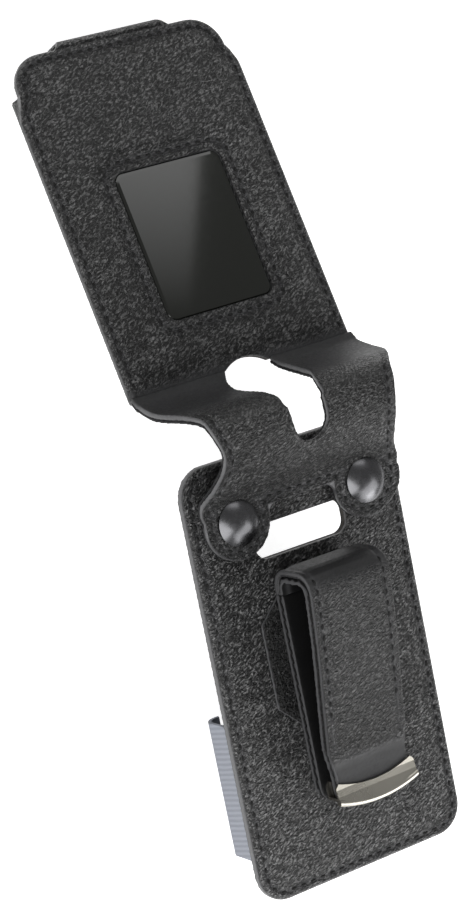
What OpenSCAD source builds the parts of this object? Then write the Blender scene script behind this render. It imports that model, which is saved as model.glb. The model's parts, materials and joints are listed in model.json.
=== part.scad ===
// Leather belt holster for a flip phone, opened out with its outer side up.
// Millimetres. X runs across the holster, +Y from the base cover to the lid cover, +Z up.
// The origin is on the ground, under the middle of the opened holster.
// Both covers are drawn flat about the hinge axis and then tilted down from it.

/* [Opened pose] */
// Angle by which the lid leans back from the plane of the base cover
fold = 20.1; // [12:0.1:26]

/* [Base cover] */
// Width of the base cover
base_w = 57; // [50:0.5:64]
// Distance from the hinge axis to the bottom edge of the base cover
base_reach = 98; // [88:0.5:112]
// Distance by which the base cover passes the hinge axis
base_top = 4; // [2:0.5:6]
// Height of the outer face over the hinge plane
base_h = 12.5; // [11:0.1:15]
// Corner radius of the base cover
base_corner = 7; // [4:0.5:10]
// Thickness of the outer leather
base_leather = 1.2; // [0.8:0.1:1.4]
// Thickness of the stiffener board
base_board_t = 0.7; // [0.5:0.1:0.9]
// Thickness of the inner lining
base_lining_t = 0.6; // [0.4:0.1:0.8]
// Width of the bottom tab that folds round the phone
base_tab_w = 30; // [20:1:36]

/* [Side bands] */
// Distance from the hinge axis to the upper end of the bands
band_start = 55; // [50:0.5:64]
// Length of the bands
band_len = 32; // [20:0.5:33]
// Thickness of the elastic
band_t = 0.8; // [0.6:0.1:1.2]
// Step of the band inside the edge of the cover
band_inset = 0.4; // [0.2:0.1:0.8]
// Radius where the band turns under the phone
band_r = 3.2; // [2:0.1:4]

/* [Speaker opening] */
// Width of the speaker opening
speaker_w = 25; // [18:0.5:28]
// Height of the speaker opening
speaker_l = 7.8; // [7:0.1:8.5]
// Corner radius of the speaker opening
speaker_r = 3; // [2:0.1:3.4]
// Distance from the hinge axis to the middle of the speaker opening
speaker_at = 16.7; // [15:0.1:18]

/* [Lid cover] */
// Width of the lid cover
lid_w = 60; // [56:0.5:66]
// Distance from the hinge axis to the outside of the top tab
lid_reach = 102.8; // [92:0.1:116]
// Distance from the hinge axis to the crease where the strap starts
crease_at = 18.9; // [17:0.1:20]
// Height of the outer face over the hinge plane
lid_h = 9; // [8:0.1:11]
// Thickness of the lid leather
lid_leather = 1.1; // [0.8:0.1:1.2]
// Thickness of the lid board
lid_board_t = 0.5; // [0.4:0.1:0.7]
// Thickness of the lid lining
lid_lining_t = 0.4; // [0.3:0.1:0.6]
// Radius of the folds of the end tabs
wrap_r = 2.2; // [1.6:0.1:2.6]
// Step from the wide part of the lid in to its narrower end
wrap_step = 2; // [1:0.1:2.4]
// Length of the narrower end
wrap_end = 8.4; // [8.2:0.1:14]
// Step of the walls that hold the phone inside the edge of the lid
hold_side = 2.2; // [1.8:0.1:3]
// Radius of the folds of those walls
hold_r = 3.8; // [2.4:0.1:3.8]
// Distance from the outside of those walls to the board and lining between them
lining_step = 2.5; // [2.2:0.1:3]
// Radius of the arch in the crease edge, at the camera slot
arch_r = 9.5; // [8:0.1:12]
// Depth of that arch
arch_rise = 2.1; // [1:0.1:2.6]
// Corner radius at the top of the lid panel
lid_corner = 8; // [5:0.5:9]
// Width of the top tab at its outer edge
lid_tab_w = 25; // [18:0.5:30]
// Step of the top tab outside the edge of the panel
lid_tab_out = 2; // [1.4:0.1:2.6]

/* [Lips that hold the phone] */
// Width of the lips over the edge of the phone
lip_w = 4; // [3:0.1:5]
// Thickness of the lips
lip_t = 0.8; // [0.6:0.1:1]
// Gap from the lips to the hinge plane
lip_gap = 0.4; // [0.3:0.05:0.8]

/* [Window] */
// Width of the window
window_w = 28.6; // [22:0.2:34]
// Height of the window
window_l = 36; // [28:0.5:44]
// Distance from the hinge axis to the lower edge of the window
window_at = 33.3; // [29:0.1:38]
// Corner radius of the window
window_r = 2.4; // [1.5:0.1:4]
// Shift of the window to the right
window_shift = 0.9; // [0:0.1:1.5]
// Thickness of the smoked film
film_t = 0.4; // [0.2:0.05:0.4]
// Overlap of the film under the leather all round
film_lap = 3.4; // [2.5:0.1:4.5]

/* [Hinge strap] */
// Thickness of the strap leather
strap_leather = 1.2; // [1:0.1:1.5]
// Thickness of the strap lining
strap_lining_t = 0.8; // [0.6:0.1:1]
// Height of the loop over the outer face of the base cover
strap_rise = 10.8; // [8:0.1:13]
// Gap between the strap leather and the crease edge of the lid
crease_gap = 0.25; // [0.15:0.05:0.4]
// Half width of the camera slot over the loop
slot_half = 5; // [4:0.1:6]
// Distance from the hinge axis to the round end of the camera slot, towards the lid
slot_end = 4.4; // [3.5:0.1:6]
// Shift of the camera slot to the right
slot_shift = 1.2; // [0:0.1:1.5]

/* [Snap fasteners] */
// Distance of each snap from the middle line
snap_x = 17.5; // [15:0.1:19]
// Distance from the hinge axis to the snaps
snap_at = 9.8; // [9:0.1:11]
// Radius of the round tabs
tab_r = 8.5; // [7:0.1:9]
// Distance from the hinge axis to the edge between the tabs
notch_at = 8; // [7:0.1:8.6]
// Diameter of the caps
cap_d = 10.4; // [9:0.1:12]
// Height of the caps over the leather
cap_h = 2.2; // [1.6:0.1:3]
// Depth to which the caps are pressed into the leather
cap_seat = 0.15; // [0.05:0.05:0.3]
// Diameter of the stud
stud_d = 3.9; // [3:0.1:4.5]
// Height of the stud over the base leather
stud_h = 2.2; // [1.8:0.1:2.6]
// Gap between the strap lining and the base leather
snap_gap = 1.1; // [1:0.1:1.6]
// Clearance round the stud
stud_clear = 0.15; // [0.1:0.05:0.3]

/* [Belt clip] */
// Width of the leather-covered clip
clip_w = 21.6; // [19:0.1:24]
// Distance from the hinge axis to the crown of the clip
crown_at = 22.5; // [21.5:0.1:24]
// Radius of the crown's bends
crown_r = 4.8; // [4.2:0.1:5.4]
// Distance from the crown to the end of the front leg
clip_len = 55.2; // [46:0.1:58]
// Height of the front face at the crown over the patch
clip_depth = 15.1; // [12:0.1:17]
// Height of the front face at the tip over the patch
tip_depth = 8.7; // [7.6:0.1:10]
// Thickness of each leather layer of the clip
clip_leather = 1.1; // [0.8:0.1:1.3]
// Thickness of the spring steel
spring_t = 0.9; // [0.6:0.1:1.2]
// Width of the spring steel
spring_w = 15; // [12:0.5:16]
// Gap between the fixed back leg and the moving crown
clip_joint_gap = 0.25; // [0.2:0.05:0.4]
// Width of the metal tip
tip_w = 21.8; // [20:0.1:25]
// Thickness of the metal tip's sheet
tip_t = 0.6; // [0.4:0.05:0.8]
// Radius of the bowed end of the clip, seen from above
tip_bow_r = 32; // [24:1:60]
// Length of the metal tip over the leather
tip_len = 3.4; // [2.6:0.1:5]
// Cut of the metal tip's upper corners
tip_corner = 1.2; // [0.4:0.1:1.6]
// Narrowing of the leather on each side just before the metal tip
neck_in = 1.2; // [0.4:0.1:2]

/* [Clip patch] */
// Width of the patch
patch_w = 31; // [26:0.5:36]
// Length of the patch
patch_l = 32.4; // [28:0.1:36]
// Distance from the hinge axis to the middle of the patch
patch_at = 44.6; // [43:0.1:46]
// Cut of the patch's corners
patch_cut = 6.4; // [4:0.1:9]
// Thickness of the patch
patch_t = 1.4; // [1:0.1:1.8]
// Distance between the rivets
rivet_pitch = 18; // [14:0.5:20]
// Diameter of the rivets
rivet_d = 3; // [2.4:0.1:4]
// Clearance round the rivets
rivet_clear = 0.05; // [0.02:0.01:0.1]
// Width and length of the backing plate
plate_size = 26; // [24:0.5:27]

/* [Hidden] */
$fn = 64;
LEFT = -1;
RIGHT = 1;
eps = 0.01;
// The sum of the layers gives the thickness of each cover.
base_t = base_leather + base_board_t + base_lining_t;
lid_t = lid_leather + lid_board_t + lid_lining_t;
strap_t = strap_leather + strap_lining_t;
// Both far ends of the opened holster rest on the ground.
base_tilt = atan2(lid_reach * sin(fold), base_reach + lid_reach * cos(fold));
lid_tilt = fold - base_tilt;
hinge_z = base_reach * sin(base_tilt) - lip_gap * cos(base_tilt);
// The origin is halfway between the far ends.
edge_round = 1.2;
lid_far = (lid_reach - wrap_r) * cos(lid_tilt) + (lid_h - wrap_r) * sin(lid_tilt) + wrap_r;
base_far = base_reach * cos(base_tilt) + (base_h - edge_round) * sin(base_tilt);
shift_y = (base_far - lid_far) / 2;
// Faces of the layers over the hinge plane
base_in = base_h - base_t;
lid_in = lid_h - lid_t;
fit_gap = 0.1;
lid_panel_end = lid_reach - lid_tab_out;
lid_panel_w = lid_w - 2 * wrap_step;
hold_w = lid_w - 2 * hold_side;
lid_lining_w = hold_w - 2 * lining_step;
lid_rim = (lid_panel_w - lid_lining_w) / 2;
// Heights of the snap's parts
tab_z = base_h + snap_gap + strap_t;
socket_flange_t = 0.6;
socket_d = stud_d + 2 * stud_clear + 1.3;
stud_flange_t = 0.4;
stud_flange_d = 8;
stud_post_d = 2.4;
stud_back_t = 0.3;
// Heights of the clip's layers
patch_z = base_h + patch_t;
clip_t = 2 * clip_leather + spring_t;
joint_at = patch_at - patch_l / 2 - 0.2;
leg_end = crown_at + clip_len;

// Puts what is drawn about the hinge axis where the base cover lies.
module on_base() {
    translate([0, shift_y, hinge_z]) rotate([base_tilt, 0, 0]) children();
}

// Puts what is drawn about the hinge axis where the lid cover lies.
module on_lid() {
    translate([0, shift_y, hinge_z]) rotate([-lid_tilt, 0, 0]) children();
}

// Extrudes an outline of the YZ plane along X, centred.
module across(w) {
    rotate([90, 0, 90]) linear_extrude(w, center = true) children();
}

// Extrudes an outline of the XZ plane from y0 to y1.
module along(y0, y1) {
    translate([0, y1, 0]) rotate([90, 0, 0]) linear_extrude(y1 - y0) children();
}

// Rectangle with round corners, centred on X, from y0 to y1
module round_rect(w, y0, y1, r) {
    translate([-w / 2 + r, y0]) square([w - 2 * r, y1 - y0]);
    translate([-w / 2, y0 + r]) square([w, y1 - y0 - 2 * r]);
    for (x = [-w / 2 + r, w / 2 - r], y = [y0 + r, y1 - r]) translate([x, y]) circle(r);
}

// Cross-section of a slab of width w with its upper edges rounded over
module slab_section(w, z0, z1) {
    translate([-w / 2, z0]) square([w, z1 - z0 - edge_round]);
    translate([-w / 2 + edge_round, z0]) square([w - 2 * edge_round, z1 - z0]);
    for (x = [-w / 2 + edge_round, w / 2 - edge_round]) translate([x, z1 - edge_round]) circle(edge_round);
}

// Flat slab with round corners whose upper edge is rounded over
module soft_slab(w, y0, y1, r, z0, z1) {
    along(y0 + r, y1 - r) slab_section(w, z0, z1);
    translate([0, (y0 + y1) / 2, 0]) across(w - 2 * r) slab_section(y1 - y0, z0, z1);
    for (x = [-w / 2 + r, w / 2 - r], y = [y0 + r, y1 - r]) translate([x, y, 0]) rotate_extrude()
        intersection() {
            slab_section(2 * r, z0, z1);
            translate([0, z0 - 1]) square([r, z1 - z0 + 2]);
        }
}

// Folded sheet that opens downwards: a bar of width w from z0 to z1 with a hollow of thickness t
module fold_section(w, z0, z1, r, t) {
    difference() {
        round_rect(w, z0, z1, r);
        round_rect(w - 2 * t, z0 + lip_t, z1 - t, r - t);
        translate([-w / 2 + lip_w, z0 - 1]) square([w - 2 * lip_w, (z1 - z0) / 2 + 1]);
    }
}

// Smooth curve through points of any size, with n steps between two of them
function curve_at(a, b, c, d, t) =
    b + t * (c - a) / 2 + t * t * (2 * a - 5 * b + 4 * c - d) / 2 + t * t * t * (3 * b - a - 3 * c + d) / 2;
function smooth(p, n) = concat(
    [for (i = [0:len(p) - 2], k = [0:n - 1])
        curve_at(p[max(i - 1, 0)], p[i], p[i + 1], p[min(i + 2, len(p) - 1)], k / n)],
    [p[len(p) - 1]]
);
function unit(v) = v / norm(v);
function step_dir(p, i) =
    i < 0 || i > len(p) - 2 ? [0, 0] : unit([p[i + 1][0] - p[i][0], p[i + 1][1] - p[i][1]]);
function heading(p, i) = unit(step_dir(p, i - 1) + step_dir(p, i));
// The same path, moved to its left by d
function beside(p, d) = [for (i = [0:len(p) - 1]) let (t = heading(p, i)) [p[i][0] - d * t[1], p[i][1] + d * t[0]]];
function reversed(p) = [for (i = [len(p) - 1:-1:0]) p[i]];
function layer(p, d0, d1) = concat(beside(p, d0), reversed(beside(p, d1)));

module base_outline(inset) {
    round_rect(base_w - 2 * inset, -base_reach + inset, base_top - inset, base_corner - inset);
}

module speaker_hole(grow) {
    translate([0, -speaker_at, base_in - 1]) linear_extrude(base_t + 2)
        round_rect(speaker_w + 2 * grow, -speaker_l / 2 - grow, speaker_l / 2 + grow, speaker_r + grow);
}

module at_rivets() {
    for (s = [-1, 1]) translate([0, -patch_at + s * rivet_pitch / 2, 0]) children();
}

module rivet_holes(z0, z1) {
    at_rivets() translate([0, 0, z0]) cylinder(d = rivet_d + 2 * rivet_clear, h = z1 - z0);
}

module at_snap(side) {
    translate([side * snap_x, -snap_at, 0]) children();
}

// Tab that folds from the edge of a panel round the phone's end, drawn for an end at y = reach
module end_tab(reach, z1, t, r) {
    depth = lip_w + 1.5;
    difference() {
        translate([reach - 12, 0]) round_rect(24, lip_gap, z1, r);
        translate([reach - 12, 0]) round_rect(24 - 2 * t, lip_gap + lip_t, z1 - t, r - t);
        translate([reach - 25, 0]) square([25 - lip_w, z1 - t]);
        translate([reach - 25, -1]) square([25 - depth, z1 + 2]);
    }
}

module base_cover() {
    side_in = base_leather;
    color([0.19, 0.19, 0.19]) on_base() difference() {
        union() {
            soft_slab(base_w, -base_reach, base_top, base_corner, base_in, base_h);
            mirror([0, 1, 0]) across(base_tab_w) intersection() {
                end_tab(base_reach, base_h, base_leather, wrap_r);
                square([base_reach, base_in + edge_round]);
            }
        }
        translate([0, 0, base_in - eps]) linear_extrude(base_t - base_leather + eps) base_outline(side_in);
        speaker_hole(0);
        rivet_holes(base_in, base_h + 1);
        for (side = [LEFT, RIGHT])
            at_snap(side) translate([0, 0, base_in]) cylinder(d = stud_post_d + 2 * rivet_clear, h = base_t + 1);
    }
}

module base_board() {
    color([0.45, 0.38, 0.3]) on_base() difference() {
        translate([0, 0, base_in + base_lining_t]) linear_extrude(base_board_t)
            base_outline(base_leather + fit_gap);
        speaker_hole(fit_gap);
        translate([-plate_size / 2 - fit_gap, -patch_at - plate_size / 2 - fit_gap, base_in])
            cube([plate_size + 2 * fit_gap, plate_size + 2 * fit_gap, base_t]);
        for (side = [LEFT, RIGHT])
            at_snap(side) translate([0, 0, base_in]) cylinder(d = stud_flange_d + 2 * fit_gap, h = base_t);
    }
}

module base_lining() {
    color([0.12, 0.12, 0.13]) on_base() difference() {
        translate([0, 0, base_in]) linear_extrude(base_lining_t) base_outline(base_leather + fit_gap);
        speaker_hole(fit_gap);
    }
}

// Elastic band from under the cover's edge, down the side and round under the phone
module side_band(side) {
    edge = base_w / 2 - band_inset;
    flange = lip_w;
    color([0.55, 0.56, 0.6]) on_base() mirror([side < 0 ? 1 : 0, 0, 0]) along(-band_start - band_len, -band_start)
        difference() {
            translate([edge - 15, 0]) {
                intersection() {
                    round_rect(30, lip_gap, base_in + band_r, band_r);
                    translate([0, 0]) square([15, base_in]);
                }
            }
            translate([edge - 15, 0])
                round_rect(30 - 2 * band_t, lip_gap + lip_t, base_in - band_t, band_r - band_t);
            translate([0, -1]) square([edge - flange, base_in + 2]);
        }
}

module snap_stud(side) {
    tip = stud_h - 0.5;
    color([0.35, 0.35, 0.36]) on_base() at_snap(side) {
        translate([0, 0, base_h]) rotate_extrude() polygon([
            [0, 0], [stud_flange_d / 2, 0], [stud_flange_d / 2, stud_flange_t * 0.6],
            [stud_flange_d / 2 - 0.4, stud_flange_t], [stud_d / 2 - 0.25, stud_flange_t],
            [stud_d / 2 - 0.25, stud_h * 0.45], [stud_d / 2, stud_h * 0.65], [stud_d / 2, tip],
            [stud_d / 2 - 0.5, stud_h], [0, stud_h],
        ]);
        translate([0, 0, base_h - base_leather]) cylinder(d = stud_post_d, h = base_leather + eps);
        translate([0, 0, base_h - base_leather - stud_back_t]) cylinder(d = stud_flange_d - 1, h = stud_back_t);
    }
}

module clip_patch() {
    a = patch_w / 2;
    b = patch_l / 2;
    c = patch_cut;
    color([0.15, 0.15, 0.15]) on_base() difference() {
        translate([0, -patch_at, base_h]) linear_extrude(patch_t) polygon([
            [-a + c, -b], [a - c, -b], [a, -b + c], [a, b - c],
            [a - c, b], [-a + c, b], [-a, b - c], [-a, -b + c],
        ]);
        rivet_holes(base_h - 1, patch_z + 1);
    }
}

module clip_plate() {
    color([0.6, 0.6, 0.62]) on_base() difference() {
        translate([-plate_size / 2, -patch_at - plate_size / 2, base_in + base_lining_t])
            cube([plate_size, plate_size, base_board_t]);
        rivet_holes(base_in, base_h);
    }
}

module clip_rivets() {
    head_d = 2.3 * rivet_d;
    head_t = 0.6;
    z0 = base_in + base_lining_t;
    z1 = patch_z + clip_t;
    color([0.5, 0.5, 0.52]) on_base() at_rivets() {
        translate([0, 0, z0]) cylinder(d = rivet_d, h = z1 - z0 + eps);
        translate([0, 0, z1]) rotate_extrude() polygon([
            [0, 0], [head_d / 2, 0], [head_d / 2, head_t * 0.3], [head_d / 2 - 0.8, head_t], [0, head_t],
        ]);
    }
}

// Leg of the clip that is riveted to the patch, between two heights over the patch
module back_leg(w, z0, z1) {
    r = 3;
    difference() {
        translate([0, 0, patch_z + z0]) linear_extrude(z1 - z0) {
            round_rect(w, -leg_end, -joint_at - 5, r);
            translate([-w / 2, -leg_end + 5]) square([w, leg_end - 5 - joint_at - clip_joint_gap]);
        }
        rivet_holes(patch_z - 1, patch_z + clip_t + 1);
    }
}

module clip_back_cover() {
    color([0.24, 0.24, 0.24]) on_base() back_leg(clip_w, 0, clip_leather);
}

module clip_back_lining() {
    color([0.17, 0.17, 0.17]) on_base() back_leg(clip_w, clip_leather + spring_t, clip_t);
}

// Outer face of the clip from its joint over the crown to the end of the front leg
function crown_point(a, z) = [-crown_at - crown_r * (1 - cos(a)), z + crown_r * sin(a)];
front_path = concat(
    [[-joint_at, patch_z]],
    [for (a = [-80:20:0]) crown_point(a, patch_z + crown_r)],
    [for (a = [0:20:80]) crown_point(a, patch_z + clip_depth - crown_r)],
    smooth([
        crown_point(98, patch_z + clip_depth - crown_r),
        [-crown_at - 0.32 * clip_len, patch_z + 0.77 * clip_depth + 0.23 * tip_depth],
        [-crown_at - 0.55 * clip_len, patch_z + 0.42 * clip_depth + 0.58 * tip_depth],
        [-crown_at - 0.8 * clip_len, patch_z + 0.07 * clip_depth + 0.93 * tip_depth],
        [-crown_at - 0.93 * clip_len, patch_z + tip_depth + 0.2],
        [-leg_end, patch_z + tip_depth + 1.1],
    ], 3)
);

// Disc whose edge is the bowed end of the clip
module bow_disc(grow) {
    translate([0, -leg_end + tip_bow_r, patch_z]) cylinder(r = tip_bow_r + grow, h = clip_depth + 5);
}

module clip_spring() {
    inner = clip_leather;
    color([0.62, 0.63, 0.65]) on_base() {
        intersection() {
            across(spring_w) polygon(layer(front_path, inner, inner + spring_t));
            bow_disc(-0.1);
        }
        difference() {
            translate([-spring_w / 2, -leg_end + 2, patch_z + inner])
                cube([spring_w, leg_end - 2 - joint_at + 0.05, spring_t]);
            rivet_holes(patch_z, patch_z + clip_t);
        }
    }
}

// Outline of the clip's leather from above, with the narrower neck before the metal tip
module neck_outline() {
    half = clip_w / 2;
    neck = half - neck_in;
    neck_end = leg_end - tip_len - 2.4;
    polygon([
        [-half, 0], [half, 0], [half, -neck_end + 7], [neck + 0.35, -neck_end + 2.6], [neck, -neck_end],
        [neck, -leg_end - 5], [-neck, -leg_end - 5],
        [-neck, -neck_end], [-neck - 0.35, -neck_end + 2.6], [-half, -neck_end + 7],
    ]);
}

// Crown and front leg between two depths under the outer face
module front_leg(w, d0, d1) {
    intersection() {
        across(w) polygon(layer(front_path, d0, d1));
        translate([0, 0, patch_z - 1]) linear_extrude(clip_depth + 5) neck_outline();
        bow_disc(-0.1);
    }
}

module clip_front_cover() {
    color([0.25, 0.25, 0.25]) on_base() front_leg(clip_w, 0, clip_leather);
}

module clip_front_lining() {
    color([0.17, 0.17, 0.17]) on_base() front_leg(clip_w, clip_leather + spring_t, clip_t);
}

// The last n points of a path
function last_of(p, n) = [for (i = [len(p) - n:len(p) - 1]) p[i]];
tip_path = let (end = len(front_path) - 1)
    last_of(concat(front_path, [front_path[end] + 3 * heading(front_path, end)]), 8);

// Bowed outline of the metal tip from above, about the middle of its bow
module tip_outline() {
    inner = tip_bow_r - tip_len;
    intersection() {
        difference() {
            circle(tip_bow_r + tip_t);
            circle(inner);
            for (side = [LEFT, RIGHT]) translate([side * tip_w / 2, -sqrt(inner * inner - tip_w * tip_w / 4)])
                rotate(45) square(tip_corner * sqrt(2), center = true);
        }
        translate([-tip_w / 2, -tip_bow_r - 5]) square([tip_w, 20]);
    }
}

// Metal channel over the end of the front leg, with a rolled lower edge
module clip_tip() {
    roll = 0.8;
    roll_z = tip_path[6][1] + tip_t - roll;
    color([0.8, 0.79, 0.76]) on_base() {
        difference() {
            intersection() {
                across(tip_w) polygon(layer(tip_path, -tip_t, clip_t + tip_t));
                translate([0, -leg_end + tip_bow_r, patch_z]) linear_extrude(clip_depth + 5) tip_outline();
            }
            intersection() {
                across(tip_w + 2) polygon(layer(tip_path, 0, clip_t));
                bow_disc(0);
            }
        }
        translate([0, -leg_end + tip_bow_r, roll_z]) intersection() {
            rotate_extrude() translate([tip_bow_r + roll, 0]) circle(roll);
            translate([-tip_w / 2, -tip_bow_r - 5, -roll - 1]) cube([tip_w, 20, 2 * roll + 2]);
        }
    }
}

// The strap's outer face, row by row from the crease to the tabs.
// Each row has its place along Y and Z, its half width and the half width of the camera slot.
crease = [
    lid_h * sin(fold) + (crease_at - crease_gap) * cos(fold),
    lid_h * cos(fold) - (crease_at - crease_gap) * sin(fold),
];
loop_z = base_h + strap_rise;
crease_half = lid_w / 2;
tab_half = snap_x + sqrt(tab_r * tab_r - pow(snap_at - notch_at, 2));
waist_half = tab_half - 1.3;
function rising(a, b, half, slot) =
    [crease[0] * a - notch_at * (1 - a), crease[1] * (1 - b) + loop_z * b, half, slot];
function falling(a, b, half) = [crease[0] * a - notch_at * (1 - a), tab_z * (1 - b) + loop_z * b, half, -0.5];
strap_rows = smooth([
    rising(1, 0, crease_half, 1.22 * slot_half),
    rising(0.95, 0.14, crease_half - 0.4, 1.6 * slot_half),
    rising(0.912, 0.33, crease_half - 0.6, 1.78 * slot_half),
    rising(0.898, 0.52, crease_half - 1.5, 1.72 * slot_half),
    rising(0.884, 0.70, (crease_half + waist_half) / 2 - 0.5, 1.4 * slot_half),
    rising(0.84, 0.885, waist_half + 0.3, 1.12 * slot_half),
    rising(0.75, 0.978, waist_half, slot_half),
    falling(0.64, 1, waist_half),
    falling(0.52, 0.96, waist_half + 0.1),
    falling(0.355, 0.73, waist_half + 0.3),
    falling(0.226, 0.43, tab_half - 0.5),
    falling(0.13, 0.1, tab_half + 0.6),
    falling(0.06, 0.015, tab_half + 0.5),
    falling(0.028, 0, tab_half + 0.2),
    falling(0.006, 0, tab_half),
], 3);

// One half of the strap between two depths under its outer face
module strap_half(side, d0, d1) {
    rows = len(strap_rows);
    top = beside(strap_rows, d0);
    low = beside(strap_rows, d1);
    points = [for (i = [0:rows - 1]) let (out = side * strap_rows[i][2], in = side * strap_rows[i][3]
            + (strap_rows[i][3] > 0 ? slot_shift : 0)) each [
        [out, top[i][0], top[i][1]], [in, top[i][0], top[i][1]],
        [in, low[i][0], low[i][1]], [out, low[i][0], low[i][1]],
    ]];
    walls = [for (i = [0:rows - 2], k = [0:3]) let (m = (k + 1) % 4,
        a = 4 * i + k, b = 4 * i + m, c = 4 * i + 4 + m, d = 4 * i + 4 + k)
        each k == 0 ? [[a, b, d], [b, c, d]] : [[a, b, c], [a, c, d]]];
    ends = [[3, 2, 1, 0], [for (k = [0:3]) 4 * (rows - 1) + k]];
    faces = concat(walls, ends);
    polyhedron(points, side > 0 ? [for (f = faces) reversed(f)] : faces, convexity = 6);
}

// Round tabs below the edge between them, with filleted inner corners
module tabs_outline() {
    fillet = 2.4;
    // a little overlap, so that the fillet crosses the tab's edge
    inner = snap_x - sqrt(tab_r * tab_r - pow(snap_at - notch_at - fillet, 2)) - fillet + 0.05;
    intersection() {
        union() {
            for (side = [LEFT, RIGHT]) translate([side * snap_x, -snap_at]) circle(tab_r);
            difference() {
                translate([-inner - fillet - 1, -notch_at - fillet]) square([2 * (inner + fillet + 1), fillet + 1]);
                translate([-inner, -notch_at - fillet - 1]) square([2 * inner, fillet + 1]);
                for (side = [LEFT, RIGHT]) translate([side * inner, -notch_at - fillet]) circle(fillet);
            }
        }
        translate([-50, -notch_at - 50]) square([100, 50.3]);
    }
}

module strap_layer(d0, d1) {
    difference() {
        union() {
            for (side = [LEFT, RIGHT]) strap_half(side, d0, d1);
            translate([0, 0, tab_z - d1]) linear_extrude(d1 - d0) tabs_outline();
        }
        for (side = [LEFT, RIGHT]) at_snap(side) {
            translate([0, 0, base_h]) cylinder(d = socket_d + 2 * rivet_clear, h = 20);
            translate([0, 0, tab_z - cap_seat]) cylinder(d = cap_d + 0.2, h = 20);
        }
        translate([slot_shift, slot_end + slot_half, base_h]) {
            cylinder(r = slot_half, h = strap_rise + 5);
            translate([-slot_half, 0, 0])
                cube([2 * slot_half, crease[0] * 0.75 - notch_at * 0.25 - slot_end - slot_half, strap_rise + 5]);
        }
    }
}

module hinge_strap() {
    color([0.24, 0.24, 0.24]) on_base() strap_layer(0, strap_leather);
}

module strap_lining() {
    color([0.14, 0.14, 0.15]) on_base() strap_layer(strap_leather, strap_t);
}

module snap_cap(side) {
    r = cap_d / 2;
    bulge = (r * r + cap_h * cap_h * 0.7) / (2 * cap_h * 0.8);
    color([0.3, 0.3, 0.3]) on_base() at_snap(side) translate([0, 0, tab_z - cap_seat]) rotate_extrude() intersection() {
        translate([0, cap_h - bulge]) circle(bulge);
        square([r, cap_h + 1]);
    }
}

module snap_socket(side) {
    flange_z = tab_z - strap_t - socket_flange_t;
    bore_top = base_h + stud_h + stud_clear;
    color([0.4, 0.4, 0.42]) on_base() at_snap(side) difference() {
        union() {
            translate([0, 0, flange_z]) cylinder(d = cap_d - 1.6, h = socket_flange_t);
            translate([0, 0, flange_z]) cylinder(d = socket_d, h = tab_z - cap_seat - flange_z);
        }
        translate([0, 0, flange_z - 1]) cylinder(d = stud_d + 2 * stud_clear, h = bore_top - flange_z + 1);
    }
}

module lid_plate_outline(inset) {
    round_rect(lid_panel_w - 2 * inset, crease_at + 0.5, lid_panel_end - inset, lid_corner - inset);
}

module window_hole(grow, z0, z1) {
    translate([window_shift, 0, z0]) linear_extrude(z1 - z0)
        round_rect(window_w + 2 * grow, window_at - grow, window_at + window_l + grow, window_r + grow);
}

// Arch in the crease edge of the lid, grown by a gap
module crease_arch(grow) {
    translate([slot_shift, crease_at + arch_rise - arch_r, lid_in - 1]) cylinder(r = arch_r + grow, h = lid_t + 2);
}

module lid_cover() {
    wrap_to = lid_panel_end - wrap_end;
    cut = wrap_step + 0.2;
    slope = 1.7 * cut;
    wide = lid_w / 2 + 1;
    step = lid_w / 2 - cut;
    color([0.22, 0.22, 0.22]) on_lid() difference() {
        union() {
            intersection() {
                soft_slab(lid_panel_w, wrap_to - 2 * lid_corner, lid_panel_end, lid_corner, lid_in, lid_h);
                translate([-lid_w / 2, wrap_to, 0]) cube([lid_w, wrap_end + 1, lid_h + 1]);
            }
            intersection() {
                along(crease_at, wrap_to) slab_section(lid_w, lid_in, lid_h);
                linear_extrude(lid_h + 1) polygon([
                    [-wide, 0], [wide, 0], [wide, wrap_to - slope - slope / cut], [step, wrap_to],
                    [step, wrap_to + 1], [-step, wrap_to + 1], [-step, wrap_to],
                    [-wide, wrap_to - slope - slope / cut],
                ]);
            }
            along(crease_at, wrap_to) fold_section(hold_w, lip_gap, lid_h - 0.3, hold_r, lid_leather);
            intersection() {
                across(lid_w) end_tab(lid_reach, lid_h, lid_leather, wrap_r);
                linear_extrude(lid_h + 1) polygon([
                    [-lid_tab_w / 2 - 2.5, 0], [lid_tab_w / 2 + 2.5, 0], [lid_tab_w / 2 + 2.5, lid_panel_end],
                    [lid_tab_w / 2, lid_reach + 1], [-lid_tab_w / 2, lid_reach + 1],
                    [-lid_tab_w / 2 - 2.5, lid_panel_end],
                ]);
            }
        }
        translate([0, 0, lid_in - 1]) linear_extrude(lid_t - lid_leather + 1) {
            round_rect(lid_lining_w, crease_at + 10, lid_panel_end - lid_rim, lid_corner - lid_rim);
            translate([-lid_lining_w / 2, crease_at - 1]) square([lid_lining_w, 40]);
        }
        window_hole(0, lid_in, lid_h + 1);
        crease_arch(0);
    }
}

module lid_inner(z0, z1, gap) {
    w = lid_lining_w - 2 * gap;
    difference() {
        translate([0, 0, z0]) linear_extrude(z1 - z0) {
            round_rect(w, crease_at + 10, lid_panel_end - lid_rim - gap, lid_corner - lid_rim - gap);
            translate([-w / 2, crease_at + gap]) square([w, 30]);
        }
        crease_arch(gap);
    }
}

module lid_board() {
    color([0.45, 0.38, 0.3]) on_lid() difference() {
        lid_inner(lid_in + lid_lining_t, lid_in + lid_lining_t + lid_board_t, fit_gap);
        window_hole(film_lap + fit_gap, lid_in, lid_h);
    }
}

module lid_lining() {
    color([0.12, 0.12, 0.13]) on_lid() difference() {
        lid_inner(lid_in, lid_in + lid_lining_t, fit_gap);
        window_hole(0.5, lid_in - 1, lid_h);
    }
}

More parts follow.
